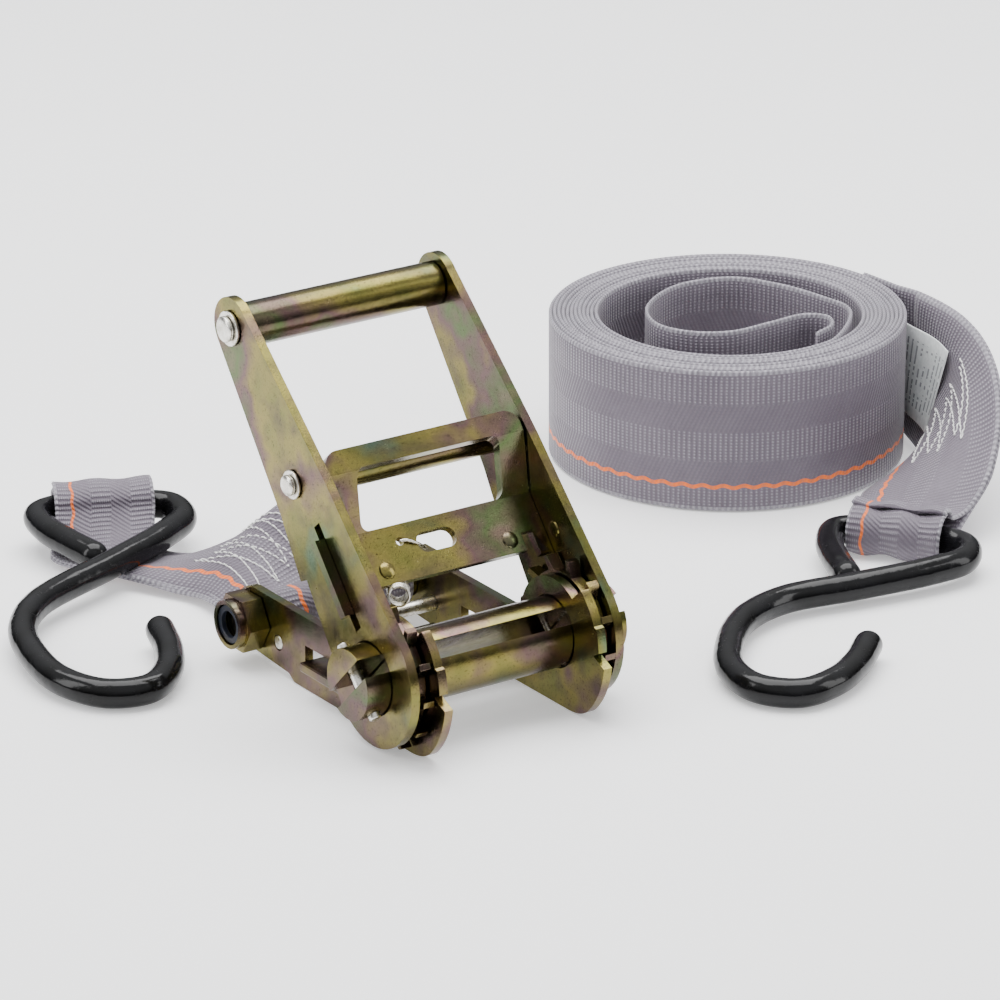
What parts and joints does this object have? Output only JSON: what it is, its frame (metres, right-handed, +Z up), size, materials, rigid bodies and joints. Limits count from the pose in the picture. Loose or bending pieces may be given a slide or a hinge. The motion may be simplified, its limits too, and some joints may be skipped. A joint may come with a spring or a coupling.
{
  "type": "ratchet strap",
  "caption": "Ratchet strap set: a steel ratchet buckle with a short sewn strap and coated hook, and a long webbing strap rolled on edge with its own hook.",
  "frame": {"origin": "bottom centre of the whole set's box, on the surface it lies on", "axes": "+X along the ratchet's spindle towards the rolled webbing, +Y along the base frame away from the mouth, +Z up"},
  "size_m": [0.3686, 0.2604, 0.122],
  "materials": {
    "zinc_plated_steel": "yellow zinc-chromate plate, iridescent gold, olive and violet",
    "bright_steel": "bright plated rivets, pins and spring wire",
    "vinyl_coated_steel": "gloss black dipped vinyl over steel wire",
    "nylon": "blue-black nylon",
    "webbing": "silver-grey woven polyester with an orange tracer",
    "paper_label": null
  },
  "bodies": {
    "base_frame": {"base_plate_left": "zinc_plated_steel", "base_plate_right": "zinc_plated_steel", "anchor_bolt": "zinc_plated_steel", "lock_nut": "zinc_plated_steel", "nylon_insert": "nylon", "spring_stop_pin": "bright_steel", "lock_spring": "bright_steel"},
    "lock_pawl": {"lock_pawl": "zinc_plated_steel"},
    "spindle": {"half_shaft_lower": "zinc_plated_steel", "half_shaft_upper": "zinc_plated_steel", "ratchet_wheel_left": "zinc_plated_steel", "ratchet_wheel_right": "zinc_plated_steel", "split_pin_left": "bright_steel", "split_pin_right": "bright_steel", "slot_pin_left": "bright_steel", "slot_pin_right": "bright_steel"},
    "handle": {"handle_plate_left": "zinc_plated_steel", "handle_plate_right": "zinc_plated_steel", "grip_tube": "zinc_plated_steel", "grip_rivet": "bright_steel", "grip_washer_left": "bright_steel", "grip_washer_right": "bright_steel", "spacer_tube": "zinc_plated_steel", "spacer_rivet": "bright_steel", "spacer_washer_left": "bright_steel", "spacer_washer_right": "bright_steel", "return_spring": "bright_steel"},
    "drive_pawl": {"drive_pawl": "zinc_plated_steel"},
    "short_strap": {"short_strap": "webbing"},
    "left_hook": {"left_hook": "vinyl_coated_steel"},
    "long_webbing": {"webbing_roll": "webbing", "webbing_inner_loop": "webbing", "webbing_tail": "webbing", "label": "paper_label"},
    "right_hook": {"right_hook": "vinyl_coated_steel"}
  },
  "joints": [
    {"name": "handle_swing", "type": "hinge", "parent": "base_frame", "child": "handle", "pos_m": [-0.08383, -0.07785, 0.0232], "axis": [1, 0, 0], "range_deg": [-30, 120]},
    {"name": "spindle_spin", "type": "hinge", "parent": "base_frame", "child": "spindle", "pos_m": [-0.08383, -0.07785, 0.0232], "axis": [1, 0, 0], "continuous": true},
    {"name": "drive_pawl_slide", "type": "slide", "parent": "handle", "child": "drive_pawl", "axis": [0, 0.6561, 0.7547], "range_m": [-0.0046, 0.005], "stiffness_N_per_m": 900, "deforming": ["return_spring"]},
    {"name": "lock_pawl_slide", "type": "slide", "parent": "base_frame", "child": "lock_pawl", "axis": [0, 1, 0], "range_m": [-0.0048, 0.004], "stiffness_N_per_m": 600, "deforming": ["lock_spring"]},
    {"name": "strap_swing", "type": "hinge", "parent": "base_frame", "child": "short_strap", "pos_m": [-0.08383, 0.00215, 0.0137], "axis": [1, 0, 0], "range_deg": [0, 12]},
    {"name": "left_hook_swing", "type": "hinge", "parent": "short_strap", "child": "left_hook", "pos_m": [-0.10193, 0.11755, 0.011], "axis": [0.9116, -0.411, 0], "range_deg": [-8, 0]},
    {"name": "webbing_lift", "type": "slide", "parent": "base_frame", "child": "long_webbing", "axis": [0, 0, 1], "range_m": [0, 0.15]},
    {"name": "right_hook_swing", "type": "hinge", "parent": "long_webbing", "child": "right_hook", "pos_m": [0.10587, -0.04155, 0.007], "axis": [0.5868, -0.8097, 0], "range_deg": [-60, 0]}
  ]
}
